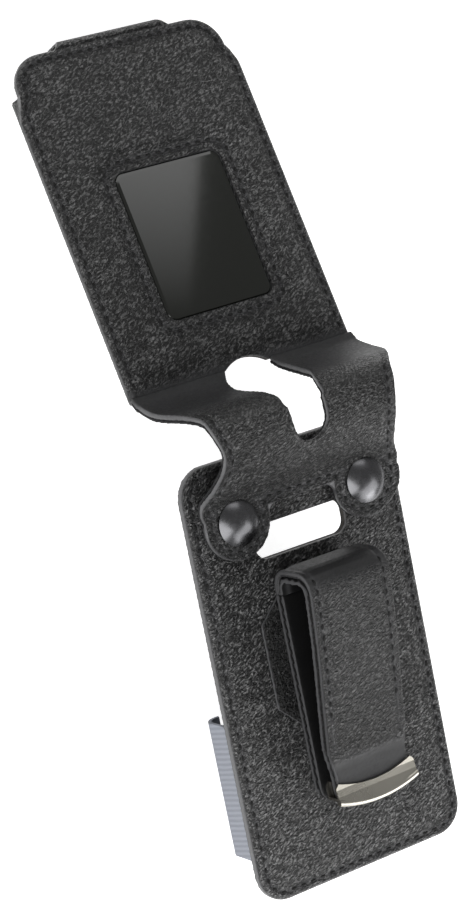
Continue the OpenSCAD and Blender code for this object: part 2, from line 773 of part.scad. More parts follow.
module window_film() {
    top = lid_h - lid_leather;
    color([0.25, 0.25, 0.24, 0.7]) on_lid() window_hole(film_lap, top - film_t, top);
}

base_cover();
base_board();
base_lining();
side_band(LEFT);  // side_band_left
side_band(RIGHT);  // side_band_right
snap_stud(LEFT);  // snap_stud_left
snap_stud(RIGHT);  // snap_stud_right
clip_patch();
clip_plate();
clip_rivets();
clip_back_cover();
clip_back_lining();
clip_spring();
hinge_strap();
strap_lining();
snap_cap(LEFT);  // snap_cap_left
snap_cap(RIGHT);  // snap_cap_right
snap_socket(LEFT);  // snap_socket_left
snap_socket(RIGHT);  // snap_socket_right
lid_cover();
lid_board();
lid_lining();
window_film();
clip_front_cover();
clip_front_lining();
clip_tip();
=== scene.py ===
"""The looks of the leather phone holster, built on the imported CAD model.

Leather pieces are remeshed from their CAD nodes, then shaped: panels are puffed, stitch lines are
pressed in and edges are painted. The threads, the window's pane and the clip's spring are new pieces.
"""
import json
import math
import random

import bpy
import numpy as np
from mathutils import Matrix, Vector
from mathutils.bvhtree import BVHTree

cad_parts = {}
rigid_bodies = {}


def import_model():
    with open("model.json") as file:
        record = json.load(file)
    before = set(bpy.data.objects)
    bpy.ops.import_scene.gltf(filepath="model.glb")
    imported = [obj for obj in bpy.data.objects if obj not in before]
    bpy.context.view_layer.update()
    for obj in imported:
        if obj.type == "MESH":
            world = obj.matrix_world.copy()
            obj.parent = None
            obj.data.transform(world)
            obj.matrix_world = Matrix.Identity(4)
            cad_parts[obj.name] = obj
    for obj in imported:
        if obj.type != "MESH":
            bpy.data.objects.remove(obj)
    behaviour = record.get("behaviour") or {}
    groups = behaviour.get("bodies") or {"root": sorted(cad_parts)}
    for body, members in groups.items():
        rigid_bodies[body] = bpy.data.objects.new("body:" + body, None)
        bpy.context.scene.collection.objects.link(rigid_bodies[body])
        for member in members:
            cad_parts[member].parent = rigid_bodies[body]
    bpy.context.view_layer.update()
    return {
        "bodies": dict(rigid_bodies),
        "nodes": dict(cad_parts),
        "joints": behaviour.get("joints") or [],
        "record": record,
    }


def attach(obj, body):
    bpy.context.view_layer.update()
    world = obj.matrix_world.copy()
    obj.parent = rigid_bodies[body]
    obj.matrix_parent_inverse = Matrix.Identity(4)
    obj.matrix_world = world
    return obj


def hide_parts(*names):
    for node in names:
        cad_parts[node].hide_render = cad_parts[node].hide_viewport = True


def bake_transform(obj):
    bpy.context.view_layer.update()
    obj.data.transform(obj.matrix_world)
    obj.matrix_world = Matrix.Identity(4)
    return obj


MM = 0.001
MOST_TRIANGLES = 150000

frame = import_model()
nodes = frame["nodes"]
joints = {joint["name"]: joint for joint in frame["record"]["behaviour"]["joints"]}

# Sizes of part.scad that this script places things by, in millimetres and degrees
FOLD = 20.1
BASE_W, BASE_REACH, BASE_TOP, BASE_H = 57.0, 98.0, 4.0, 12.5
LID_W, LID_H, LID_REACH, LID_LEATHER = 60.0, 9.0, 102.8, 1.1
LID_END = LID_REACH - 2.0
LID_NARROW_W = LID_W - 4.0
LID_NARROW_AT = LID_END - 8.4
LID_TAPER = 3.74
LID_CORNER = 8.0
LID_TAB_W = 25.0
CREASE, CREASE_GAP = 18.9, 0.25
STRAP_RISE, TAB_Z = 10.8, 15.6
SNAP_X, SNAP_AT, TAB_R, NOTCH_AT = 17.5, 9.8, 8.5, 8.0
CLIP_W, CLIP_LEATHER, CLIP_SPRING = 21.6, 1.1, 0.9
CROWN_AT, CROWN_R, CLIP_LEN, CLIP_DEPTH, TIP_DEPTH = 22.5, 4.8, 55.2, 15.1, 8.7
PATCH_Z, PATCH_W, PATCH_L, PATCH_AT, PATCH_CUT = 13.9, 31.0, 32.4, 44.6, 6.4
WINDOW_X, WINDOW_W, WINDOW_L, WINDOW_AT, WINDOW_R, FILM_LAP, FILM_T = 0.9, 28.6, 36.0, 33.3, 2.4, 3.4, 0.4
SPEAKER_W, SPEAKER_L, SPEAKER_AT, SPEAKER_R = 25.0, 7.8, 16.7, 3.0

# How far in from its edge each piece is stitched, and the groove that the stitches press in
LID_SEAM, WINDOW_SEAM, BASE_SEAM, STRAP_SEAM, CLIP_SEAM, PATCH_SEAM = 1.9, 2.3, 2.0, 1.9, 1.7, 1.5
GROOVE_W, GROOVE_DEEP, STRAP_GROOVE_DEEP, CLIP_GROOVE_W = 0.5, 0.28, 0.26, 0.36

# Cell size of the remeshed leather: the wide covers, the small faces that show, and the hidden ones
FINE, TRIM_FINE, PLAIN_FINE = 0.36, 0.32, 0.45

# The flat place under the clip: half width, ends along Y, and corner
CLIP_BED = (18.0, -81.0, -26.0, 6.0)

# The camera in the base cover's frame, and the photograph's height and focal length in pixels
CAMERA_AT, CAMERA_RIGHT, CAMERA_UP = (-334.3, 131.4, 552.9), (0.823, -0.194, 0.534), (0.269, 0.961, -0.066)
PHOTO_HEIGHT, PHOTO_FOCAL, SENSOR = 910.0, 2900.0, 36.0

# Two points of the window, in X and Y, on the line where its reflection ends
SHINE_TOP, SHINE_FOOT = (10.35, 68.9), (-7.1, 35.4)

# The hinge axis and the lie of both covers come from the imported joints
HINGE = Vector(joints["lid_fold"]["pos_m"])
BASE_UP = Vector(joints["snap_release"]["axis"])
BASE_TILT = math.degrees(math.atan2(-BASE_UP.y, BASE_UP.z))
LID_TILT = FOLD - BASE_TILT


def place(tilt):
    """Matrix from a cover's own frame, in millimetres, to the row frame, in metres."""
    return Matrix.Translation(HINGE) @ Matrix.Rotation(math.radians(tilt), 4, "X") @ Matrix.Scale(MM, 4)


ON_BASE = place(BASE_TILT)
ON_LID = place(-LID_TILT)


def as_array(m):
    return np.array(m, float)


def to_local(co, frame):
    inv = as_array(frame.inverted())
    return co @ inv[:3, :3].T + inv[:3, 3]


def to_row(co, frame):
    m = as_array(frame)
    return co @ m[:3, :3].T + m[:3, 3]


def smoothstep(x, a, b):
    t = np.clip((x - a) / (b - a), 0, 1)
    return t * t * (3 - 2 * t)


def new_object(name, data):
    obj = bpy.data.objects.new(name, data)
    bpy.context.scene.collection.objects.link(obj)
    return obj


# Materials

def new_material(name):
    mat = bpy.data.materials.new(name)
    mat.use_nodes = True
    nodes = mat.node_tree.nodes
    nodes.clear()
    out = nodes.new("ShaderNodeOutputMaterial")
    shader = nodes.new("ShaderNodeBsdfPrincipled")
    mat.node_tree.links.new(shader.outputs[0], out.inputs[0])
    return mat, mat.node_tree, shader


def add(tree, kind, **values):
    node = tree.nodes.new(kind)
    for key, value in values.items():
        if key.startswith("in_"):
            name = key[3:].replace("_", " ")
            node.inputs[int(name) if name.isdigit() else name].default_value = value
        else:
            setattr(node, key, value)
    return node


def link(tree, a, b):
    tree.links.new(a, b)


def ramp(tree, source, stops):
    node = tree.nodes.new("ShaderNodeValToRGB")
    while len(node.color_ramp.elements) < len(stops):
        node.color_ramp.elements.new(0.5)
    for element, (place_at, colour) in zip(node.color_ramp.elements, stops):
        element.position = place_at
        element.color = (*colour, 1)
    link(tree, source, node.inputs[0])
    return node.outputs[0]


def grey(v):
    return (v, v, v)


def leather(name, tone, grain=1.0, rough=0.38, cell=0.68, edge=0.07, gloss=0.5):
    """Pebbled leather: long cells parted by creases in the bump, painted highlights on the fine ridges with
    painted shade between them, painted shade over the plain parts, and edge paint.
    """
    mat, tree, shader = new_material(name)
    coord = add(tree, "ShaderNodeTexCoord")
    stretch = add(tree, "ShaderNodeMapping", vector_type="TEXTURE")
    stretch.inputs["Rotation"].default_value = (0, 0, math.radians(28))
    stretch.inputs["Scale"].default_value = (1.9 * cell * MM, 0.9 * cell * MM, cell * MM)
    link(tree, coord.outputs["Object"], stretch.inputs[0])
    wobble = add(tree, "ShaderNodeTexNoise", in_Scale=0.8, in_Detail=2.0)
    link(tree, stretch.outputs[0], wobble.inputs["Vector"])
    mix = add(tree, "ShaderNodeMixRGB", blend_type="LINEAR_LIGHT", in_Fac=0.8)
    link(tree, stretch.outputs[0], mix.inputs[1])
    link(tree, wobble.outputs["Color"], mix.inputs[2])
    cells = add(tree, "ShaderNodeTexVoronoi", feature="DISTANCE_TO_EDGE", in_Scale=1.0)
    link(tree, mix.outputs[0], cells.inputs["Vector"])
    pebble = ramp(tree, cells.outputs["Distance"], [(0.0, grey(0)), (0.16, grey(0.75)), (0.45, grey(1))])
    fine = add(tree, "ShaderNodeTexNoise", in_Scale=1.35, in_Detail=1.5, in_Roughness=0.5)
    link(tree, mix.outputs[0], fine.inputs["Vector"])
    broad = add(tree, "ShaderNodeTexNoise", in_Scale=0.12, in_Detail=2.0)
    link(tree, stretch.outputs[0], broad.inputs["Vector"])
    depth = add(tree, "ShaderNodeMath", operation="MULTIPLY_ADD")
    depth.inputs[1].default_value = 1.2
    link(tree, fine.outputs[0], depth.inputs[0])
    link(tree, pebble, depth.inputs[2])
    smooth_and_painted_shade = add(tree, "ShaderNodeAttribute", attribute_name="plain")
    paint = add(tree, "ShaderNodeAttribute", attribute_name="edge")
    bare = add(tree, "ShaderNodeMath", operation="MAXIMUM")
    link(tree, smooth_and_painted_shade.outputs["Fac"], bare.inputs[0])
    link(tree, paint.outputs["Fac"], bare.inputs[1])
    keep = add(tree, "ShaderNodeMath", operation="SUBTRACT", use_clamp=True)
    keep.inputs[0].default_value = 1.0
    link(tree, bare.outputs[0], keep.inputs[1])
    height = add(tree, "ShaderNodeMath", operation="MULTIPLY")
    link(tree, depth.outputs[0], height.inputs[0])
    link(tree, keep.outputs[0], height.inputs[1])
    bump = add(tree, "ShaderNodeBump", in_Strength=min(1.0, grain), in_Distance=0.0006)
    link(tree, height.outputs[0], bump.inputs["Height"])
    link(tree, bump.outputs[0], shader.inputs["Normal"])
    base = ramp(tree, broad.outputs[0], [(0.3, grey(tone * 0.75)), (0.7, grey(tone * 1.25))])
    # Painted highlight and painted shade: the fine noise multiplies the colour from 0.12 in the creases up
    # to 4.2 on the ridges.
    painted_grain_light_and_shade = ramp(tree, fine.outputs[0], [(0.42, grey(0.12)), (0.52, grey(0.7)), (0.62, grey(4.2))])
    # Painted shade: plain and edged parts take 0.6 times the tone in place of the grain's painted light.
    shade = add(tree, "ShaderNodeMixRGB", blend_type="MIX")
    shade.inputs[1].default_value = (0.6, 0.6, 0.65, 1)
    link(tree, keep.outputs[0], shade.inputs[0])
    link(tree, painted_grain_light_and_shade, shade.inputs[2])
    dark = add(tree, "ShaderNodeMixRGB", blend_type="MULTIPLY", in_Fac=1.0)
    link(tree, base, dark.inputs[1])
    link(tree, shade.outputs[0], dark.inputs[2])
    # The edge attribute lays the edge paint on cut edges and a painted highlight beside rows of stitches.
    edged = add(tree, "ShaderNodeMixRGB")
    edged.inputs[2].default_value = (edge, edge, edge * 1.04, 1)
    link(tree, paint.outputs["Fac"], edged.inputs[0])
    link(tree, dark.outputs[0], edged.inputs[1])
    link(tree, edged.outputs[0], shader.inputs["Base Color"])
    polish = add(tree, "ShaderNodeMapRange", in_1=0.3, in_2=0.7, in_3=rough + 0.10, in_4=rough - 0.08)
    link(tree, fine.outputs[0], polish.inputs[0])
    dull = add(tree, "ShaderNodeMath", operation="MULTIPLY_ADD")
    dull.inputs[1].default_value = 0.16
    link(tree, smooth_and_painted_shade.outputs["Fac"], dull.inputs[0])
    link(tree, polish.outputs[0], dull.inputs[2])
    link(tree, dull.outputs[0], shader.inputs["Roughness"])
    shader.inputs["Specular IOR Level"].default_value = gloss
    return mat


def plain(name, colour, rough=0.5, metal=0.0, scale=900.0, vary=0.15, bump=0.0):
    """Fine mottled material for metal, thread, film and lining."""
    mat, tree, shader = new_material(name)
    coord = add(tree, "ShaderNodeTexCoord")
    noise = add(tree, "ShaderNodeTexNoise", in_Scale=scale, in_Detail=3.0)
    link(tree, coord.outputs["Object"], noise.inputs["Vector"])
    low = [c * (1 - vary) for c in colour]
    high = [min(1, c * (1 + vary)) for c in colour]
    link(tree, ramp(tree, noise.outputs[0], [(0.3, low), (0.7, high)]), shader.inputs["Base Color"])
    spread = add(tree, "ShaderNodeMapRange", in_1=0.3, in_2=0.7, in_3=rough * 0.85)
    spread.inputs[4].default_value = min(1, rough * 1.15)
    link(tree, noise.outputs[0], spread.inputs[0])
    link(tree, spread.outputs[0], shader.inputs["Roughness"])
    shader.inputs["Metallic"].default_value = metal
    if bump:
        b = add(tree, "ShaderNodeBump", in_Strength=bump, in_Distance=0.0001)
        link(tree, noise.outputs[0], b.inputs["Height"])
        link(tree, b.outputs[0], shader.inputs["Normal"])
    return mat


def woven(name, colour):
    """Fine ribbed elastic."""
    mat, tree, shader = new_material(name)
    coord = add(tree, "ShaderNodeTexCoord")
    rib = add(tree, "ShaderNodeTexWave", in_Scale=260.0, in_Distortion=0.6, in_Detail=1.0)
    rib.bands_direction = "Y"
    link(tree, coord.outputs["Object"], rib.inputs["Vector"])
    low = [c * 0.8 for c in colour]
    link(tree, ramp(tree, rib.outputs["Fac"], [(0.2, low), (0.8, colour)]), shader.inputs["Base Color"])
    b = add(tree, "ShaderNodeBump", in_Strength=0.5, in_Distance=0.0001)
    link(tree, rib.outputs["Fac"], b.inputs["Height"])
    link(tree, b.outputs[0], shader.inputs["Normal"])
    shader.inputs["Roughness"].default_value = 0.75
    return mat


M_LEATHER = leather("pebbled_leather", 0.030)
# Painted light: the base cover's leather is a lighter copy of the lid's, for the stronger light on the
# base.
M_BASE_PAINTED_LIGHT = leather("base_leather", 0.040)
M_STRAP = leather("strap_leather", 0.021, edge=0.08)
M_CLIP = leather("clip_leather", 0.017, grain=0.9, cell=0.66, edge=0.06)
# The patch's edge paint is made lighter than the others' as a painted highlight on its raised edge.
M_PATCH = leather("patch_leather", 0.006, grain=0.9, rough=0.42, edge=0.13)
# Painted shade: this smooth leather is darkened to near black for the shade in the gap between the clip's
# legs.
M_SMOOTH_SHADED = leather("smooth_leather_painted_shade", 0.003, grain=0.3, rough=0.55, gloss=0.15)
M_LINING = plain("brushed_lining", (0.006, 0.006, 0.007), rough=0.9, bump=0.6, scale=1500.0)
M_BOARD = plain("board", (0.05, 0.045, 0.04), rough=0.85)
M_THREAD = plain("thread", (0.002, 0.002, 0.002), rough=0.9, scale=2500.0, vary=0.3, bump=0.4)
M_ELASTIC = woven("woven_elastic", (0.27, 0.285, 0.325))
M_CAP = plain("gunmetal", (0.11, 0.11, 0.115), rough=0.27, metal=1.0, vary=0.03)
M_BRASS = plain("plated_brass", (0.35, 0.35, 0.34), rough=0.35, metal=1.0, vary=0.05)
M_STEEL = plain("spring_steel", (0.35, 0.36, 0.37), rough=0.4, metal=1.0, vary=0.08)
M_NICKEL = plain("nickel", (0.44, 0.42, 0.37), rough=0.27, metal=1.0, vary=0.01, scale=120.0)
M_FILM = plain("smoked_film", (0.008, 0.0088, 0.007), rough=0.05, vary=0.02)


def dress(node, mat):
    obj = nodes[node]
    obj.data.materials.clear()
    obj.data.materials.append(mat)
    return obj


# Leather pieces

def apply_modifiers(obj):
    dg = bpy.context.evaluated_depsgraph_get()
    made = bpy.data.meshes.new_from_object(obj.evaluated_get(dg))
    obj.modifiers.clear()
    obj.data = made
    return made


def thin_out(obj, most):
    """Collapse a mesh of quads to about that many triangles, where it has more."""
    count = 2 * len(obj.data.polygons)
    if count > most:
        mod = obj.modifiers.new("thin_out", "DECIMATE")
        mod.ratio = most / count
        apply_modifiers(obj)


def read_vectors(vertices, key):
    values = np.empty(len(vertices) * 3)
    vertices.foreach_get(key, values)
    return values.reshape(-1, 3)


def evened(mesh, passes):
    """A mesh's points evened out along its edges, with a step back each time so that it doesn't shrink."""
    co = read_vectors(mesh.vertices, "co")
    edges = np.empty(len(mesh.edges) * 2, int)
    mesh.edges.foreach_get("vertices", edges)
    a, b = edges.reshape(-1, 2).T
    degree = np.bincount(np.concatenate([a, b]), minlength=len(co))[:, None]
    for factor in [0.5, -0.52] * passes:
        total = np.zeros_like(co)
        np.add.at(total, a, co[b])
        np.add.at(total, b, co[a])
        co = co + factor * (total / np.maximum(degree, 1) - co)
    return co


def skin(node, name, body, mat, voxel, frame_matrix, shape, passes=2, blend=None):
    """A piece remeshed from a CAD node. shape(co, normal) moves points in the cover's frame, in mm.

    It also gives, for each point, how far it is edge paint or takes a painted highlight beside a seam, and
    how plain its leather is, which also sets its painted shade.
    """
    obj = new_object(name, nodes[node].data.copy())
    mod = obj.modifiers.new("remesh", "REMESH")
    mod.mode = "VOXEL"
    mod.voxel_size = voxel * MM
    mod.use_smooth_shade = True
    made = apply_modifiers(obj)
    co = evened(made, passes)
    made.vertices.foreach_set("co", co.ravel())
    made.update()
    spin = as_array(frame_matrix.inverted())[:3, :3]
    spin = spin / np.linalg.norm(spin[0])
    normal = read_vectors(made.vertices, "normal") @ spin.T
    local, edge, plain_and_shade = shape(to_local(co, frame_matrix), normal)
    made.vertices.foreach_set("co", to_row(local, frame_matrix).ravel())
    for attribute, values in (("edge", edge), ("plain", plain_and_shade)):
        layer = made.attributes.new(attribute, "FLOAT", "POINT")
        layer.data.foreach_set("value", np.clip(values, 0, 1).astype(np.float32))
    made.update()
    thin_out(obj, MOST_TRIANGLES)
    made = obj.data
    made.materials.clear()
    made.materials.append(mat)
    made.polygons.foreach_set("use_smooth", [True] * len(made.polygons))
    obj.name = name
    if blend:
        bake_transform(obj)
    else:
        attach(obj, body)
    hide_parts(node)
    return obj


def rect_distance(x, y, half, low, high, r):
    """Distance inside a rectangle with round corners, positive inside."""
    cx = np.abs(x) - (half - r)
    cy = np.abs(y - (low + high) / 2) - ((high - low) / 2 - r)
    outside = np.hypot(np.maximum(cx, 0), np.maximum(cy, 0))
    inside = np.minimum(np.maximum(cx, cy), 0)
    return r - outside - inside


def ridge(d, at, width, height):
    """A soft bell of that height over the place where d equals at."""
    return height * np.exp(-((d - at) / width) ** 2)


def seam_highlight(d):
    """How much painted highlight, and smoothed grain, the leather takes beside a row of stitches, by the
    distance from it.
    """
    return ridge(d, 0, 0.75, 0.42)


def waves(x, y, seed, size):
    """Low soft wrinkles, of about one unit high."""
    rng = random.Random(seed)
    total = np.zeros_like(x)
    for _ in range(9):
        a = rng.uniform(0, math.pi)
        k = 2 * math.pi / (size * rng.uniform(0.6, 1.6))
        total += np.sin(k * (x * math.cos(a) + y * math.sin(a)) + rng.uniform(0, 6.28)) / 4
    return total


def window_distance(x, y):
    """Distance outside the window's edge, negative over the film."""
    return -rect_distance(x - WINDOW_X, y, WINDOW_W / 2, WINDOW_AT, WINDOW_AT + WINDOW_L, WINDOW_R)


def lid_distance(x, y):
    """Distance in from the lid's outline: wide sides, a short taper, and the narrower round end."""
    side = LID_W / 2 - np.abs(x)
    step = (LID_W - LID_NARROW_W) / 2 + 0.2
    lean = math.cos(math.atan2(step, LID_TAPER))
    slant = (side - step * (y - LID_NARROW_AT + LID_TAPER) / LID_TAPER) * lean
    end = rect_distance(x, y, LID_NARROW_W / 2, CREASE - 40, LID_END, LID_CORNER)
    return np.where(y < LID_NARROW_AT, np.minimum(side, slant), end)


def shape_lid(co, n):
    x, y, z = co.T
    step = (LID_W - LID_NARROW_W) / 2
    limit = LID_W / 2 - step * smoothstep(y, LID_NARROW_AT - LID_TAPER - 3.5, LID_NARROW_AT + 0.8)
    co[:, 0] = x = np.clip(x, -limit, limit)
    d = lid_distance(x, y)
    w = window_distance(x, y)
    top = smoothstep(n[:, 2], 0.2, 0.8) * smoothstep(z, LID_H - 1.4, LID_H - 0.6)
    to_crease = smoothstep(y, CREASE + 1.0, CREASE + 7.0)
    puff = 0.55 * smoothstep(d, LID_SEAM, 5.0) * smoothstep(w, WINDOW_SEAM, 5.5) * to_crease
    welt = -ridge(d, LID_SEAM, GROOVE_W, GROOVE_DEEP) - ridge(w, WINDOW_SEAM, GROOVE_W, GROOVE_DEEP)
    rim = ridge(w, 1.2, 0.6, 0.16) + ridge(d, 1.0, 0.5, 0.12)
    tab_fold = -ridge(y, LID_END + 0.1, 0.22, 0.40) * (np.abs(x) < LID_TAB_W / 2 + 2.5)
    ripple = 0.08 * waves(x, y, 3, 14.0) * smoothstep(d, 2.5, 6.0) * smoothstep(w, 3.0, 7.0) * to_crease
    pucker = 0.05 * waves(x, y, 8, 4.0) * smoothstep(d, LID_SEAM, 3.0) * (1 - smoothstep(d, 4.0, 9.0))
    co[:, 2] = z + top * (puff + welt + rim + tab_fold + ripple + pucker)
    side = smoothstep(1 - np.abs(n[:, 2]), 0.45, 0.85) * smoothstep(y, CREASE + 1.0, CREASE + 2.0)
    edge = side * np.maximum(smoothstep(-w, -0.9, -0.2), smoothstep(d, 0.9, 0.3)) * (z > 6.5)
    # Painted highlight beside the stitch rows; the plain strip at the crease takes painted shade.
    edge = np.maximum(edge, top * (seam_highlight(d - LID_SEAM) + seam_highlight(w - WINDOW_SEAM)) * to_crease)
    return co, edge, 1 - smoothstep(y, CREASE, CREASE + 4.0)


def shape_base(co, n):
    x, y, z = co.T
    d = rect_distance(x, y, BASE_W / 2, -BASE_REACH, BASE_TOP, 7.0)
    low = -SPEAKER_AT - SPEAKER_L / 2
    s = -rect_distance(x, y, SPEAKER_W / 2, low, low + SPEAKER_L, SPEAKER_R)
    top = smoothstep(n[:, 2], 0.2, 0.8) * smoothstep(z, BASE_H - 1.4, BASE_H - 0.6)
    puff = 0.40 * smoothstep(d, BASE_SEAM, 5.0) * smoothstep(s, 0.5, 4.0)
    bed = rect_distance(x, y, *CLIP_BED)
    puff *= 1 - smoothstep(bed, -2.0, 1.5)
    snap = np.hypot(np.abs(x) - SNAP_X, y + SNAP_AT)
    beyond_snap = smoothstep(snap, 5.0, 9.0)
    puff *= beyond_snap
    welt = -ridge(d, BASE_SEAM, GROOVE_W, GROOVE_DEEP)
    rim = ridge(d, 1.1, 0.5, 0.12)
    ripple = 0.05 * waves(x, y, 5, 16.0) * smoothstep(d, 3.0, 8.0) * (1 - smoothstep(bed, -2.0, 1.0))
    co[:, 2] = z + top * (puff + welt + rim + ripple * beyond_snap)
    side = smoothstep(1 - np.abs(n[:, 2]), 0.35, 0.75)
    edge_foot = 9.8
    edge = side * (z > edge_foot) + (z < edge_foot) * 0.4
    # Painted highlight beside the stitch row.
    edge = np.maximum(np.clip(edge, 0, 1), top * seam_highlight(d - BASE_SEAM))
    return co, edge, np.zeros(len(x))


def smooth_curve(points, cuts=3):
    """The curve that part.scad draws through the same points."""
    p = np.array(points, float)
    out = []
    for i in range(len(p) - 1):
        a, b, c, d = p[max(i - 1, 0)], p[i], p[i + 1], p[min(i + 2, len(p) - 1)]
        for t in np.arange(cuts) / cuts:
            out.append(b + t * (c - a) / 2 + t * t * (2 * a - 5 * b + 4 * c - d) / 2
                       + t ** 3 * (3 * b - a - 3 * c + d) / 2)
    return np.array(out + [p[-1]])


def strap_path():
    """The strap's outer face from the crease to the tabs: place along Y and Z, and half width."""
    turn = math.radians(FOLD)
    crease_y = LID_H * math.sin(turn) + (CREASE - CREASE_GAP) * math.cos(turn)
    crease_z = LID_H * math.cos(turn) - (CREASE - CREASE_GAP) * math.sin(turn)
    loop_z = BASE_H + STRAP_RISE
    crease_half = LID_W / 2
    tab_half = SNAP_X + math.sqrt(TAB_R ** 2 - (SNAP_AT - NOTCH_AT) ** 2)
    waist = tab_half - 1.3

    def row(share, rise, foot, half):
        return crease_y * share - NOTCH_AT * (1 - share), foot * (1 - rise) + loop_z * rise, half

    rising = [(1, 0, crease_half), (0.95, 0.14, crease_half - 0.4), (0.912, 0.33, crease_half - 0.6),
              (0.898, 0.52, crease_half - 1.5), (0.884, 0.70, (crease_half + waist) / 2 - 0.5),
              (0.84, 0.885, waist + 0.3), (0.75, 0.978, waist)]
    falling = [(0.64, 1, waist), (0.52, 0.96, waist + 0.1), (0.355, 0.73, waist + 0.3),
               (0.226, 0.43, tab_half - 0.5), (0.13, 0.1, tab_half + 0.6), (0.06, 0.015, tab_half + 0.5),
               (0.028, 0, tab_half + 0.2), (0.006, 0, tab_half)]
    return smooth_curve([row(s, r, crease_z, h) for s, r, h in rising]
                        + [row(s, r, TAB_Z, h) for s, r, h in falling])


def clip_path():
    """The clip's outer face from the joint over the crown to the tip: place along Y and Z."""
    def crown(degrees, z):
        a = math.radians(degrees)
        return -CROWN_AT - CROWN_R * (1 - math.cos(a)), z + CROWN_R * math.sin(a)

    start = [(PATCH_L / 2 + 0.2 - PATCH_AT, PATCH_Z)]
    start += [crown(a, PATCH_Z + CROWN_R) for a in range(-80, 1, 20)]
    start += [crown(a, PATCH_Z + CLIP_DEPTH - CROWN_R) for a in range(0, 81, 20)]
    front = [crown(98, PATCH_Z + CLIP_DEPTH - CROWN_R)]
    for share, deep in ((0.32, 0.77), (0.55, 0.42), (0.8, 0.07)):
        front.append((-CROWN_AT - share * CLIP_LEN, PATCH_Z + deep * CLIP_DEPTH + (1 - deep) * TIP_DEPTH))
    front += [(-CROWN_AT - 0.93 * CLIP_LEN, PATCH_Z + TIP_DEPTH + 0.2),
              (-CROWN_AT - CLIP_LEN, PATCH_Z + TIP_DEPTH + 1.1)]
    return np.vstack([np.array(start), smooth_curve(front)])


STRAP = strap_path()
CLIP = clip_path()


def run_along(path, y, z):
    """For each point, how far along a path in the Y-Z plane the path is nearest, and how near."""
    a, b = path[:-1, :2], path[1:, :2]
    step = b - a
    size = np.hypot(*step.T)
    start = np.concatenate([[0], np.cumsum(size)])[:-1]
    p = np.stack([y, z], 1)
    best = np.full(len(p), 1e9)
    run = np.zeros(len(p))
    for k in range(len(a)):
        t = np.clip(((p - a[k]) @ step[k]) / size[k] ** 2, 0, 1)
        gap = np.hypot(*(p - a[k] - t[:, None] * step[k]).T)
        near = gap < best
        best[near] = gap[near]
        run[near] = start[k] + t[near] * size[k]
    return run, best


def lengths(path):
    return np.concatenate([[0], np.cumsum(np.hypot(*np.diff(path[:, :2], axis=0).T))])


def strap_inset(x, y, z):
    """Distance along the strap, and the distance in from its outer edges, tabs included."""
    run = run_along(STRAP, y, z)[0]
    side = np.interp(run, lengths(STRAP), STRAP[:, 2]) - np.abs(x)
    ring = TAB_R - np.hypot(np.abs(x) - SNAP_X, y + SNAP_AT)
    return run, np.where(y < -3, np.minimum(side, np.maximum(ring, y + NOTCH_AT)), side)


def strap_lean(x, run):
    """How far the photograph shows the loop's leather drawn to the right: its rise, waist and right tab."""
    rise = ridge(run, 14, 10, 2.4) * smoothstep(x, 6, 24)
    waist = ridge(run, 31, 6.5, 3.0) * smoothstep(-x, -6, 20)
    tab = ridge(run, 46, 3, 1.3) * smoothstep(x, 21, 26)
    return rise + waist + tab


def shape_strap(co, n):
    x, y, z = co.T
    run, d = strap_inset(x, y, z)
    outer = smoothstep(d, 0.2, 0.6) * smoothstep(np.abs(n[:, 0]), 0.5, 0.2)
    slack = smoothstep(run, 8, 16) * (1 - smoothstep(run, 38, 44)) * smoothstep(d, 2.5, 5.0)
    welt = -ridge(d, STRAP_SEAM, GROOVE_W, STRAP_GROOVE_DEEP) * smoothstep(run, 14, 18)
    push = welt + 0.09 * waves(x, run, 11, 13.0) * slack
    edge = np.maximum(smoothstep(np.abs(n[:, 0]), 0.5, 0.8), smoothstep(d, 0.35, 0.05))
    edge = edge * smoothstep(run, 0.5, 3.0)
    co = co + n * (push * outer)[:, None]
    co[:, 0] += strap_lean(x, run)
    # the start reaches into the lid's edge, so that the leather runs on
    reach = 1 - smoothstep(run, 0.0, 2.2)
    co[:, 1] += 0.75 * reach
    co[:, 2] -= 0.25 * reach
    # Painted highlight beside the stitch rows; the plain band at the crease takes painted shade.
    edge = np.maximum(edge, seam_highlight(d - STRAP_SEAM) * smoothstep(run, 18, 22))
    return co, edge, 1 - smoothstep(run, 12, 20)


def close_gap(d, inner_side):
    """How far the two leathers of the clip bulge towards each other beside the steel between them."""
    return CLIP_SPRING / 2 * inner_side * (1 - smoothstep(d, 2.4, 3.2))


def shape_clip(co, n):
    x, y, z = co.T
    run, deep = run_along(CLIP, y, z)
    end = lengths(CLIP)[-1]
    d = CLIP_W / 2 - np.abs(x)
    face = smoothstep(np.abs(n[:, 0]), 0.4, 0.15)
    to_tip = smoothstep(end - 11 - run, 0, 1.5)
    welt = -ridge(d, CLIP_SEAM, CLIP_GROOVE_W, GROOVE_DEEP)
    push = (welt + 0.18 * smoothstep(d, 1.9, 4.5)) * to_tip * (deep < 0.6)
    middle = CLIP_LEATHER + CLIP_SPRING / 2
    inner_side = smoothstep(np.abs(deep - middle), CLIP_SPRING / 2 + 0.5, CLIP_SPRING / 2 + 0.1)
    # The smooth crown and tip take painted shade through the plain attribute.
    plain_shaded_part = np.maximum(smoothstep(run, end - 13, end - 9), 1 - smoothstep(run, 18, 24))
    co = co + n * (push * face + close_gap(d, inner_side * face))[:, None]
    co[:, 1] -= 0.6 * (1 - smoothstep(run, 0.0, 1.5))
    # Edge paint on the sides and a painted highlight beside the stitch rows.
    edge = np.maximum(smoothstep(np.abs(n[:, 0]), 0.5, 0.85), seam_highlight(d - CLIP_SEAM) * to_tip)
    return co, edge, plain_shaded_part


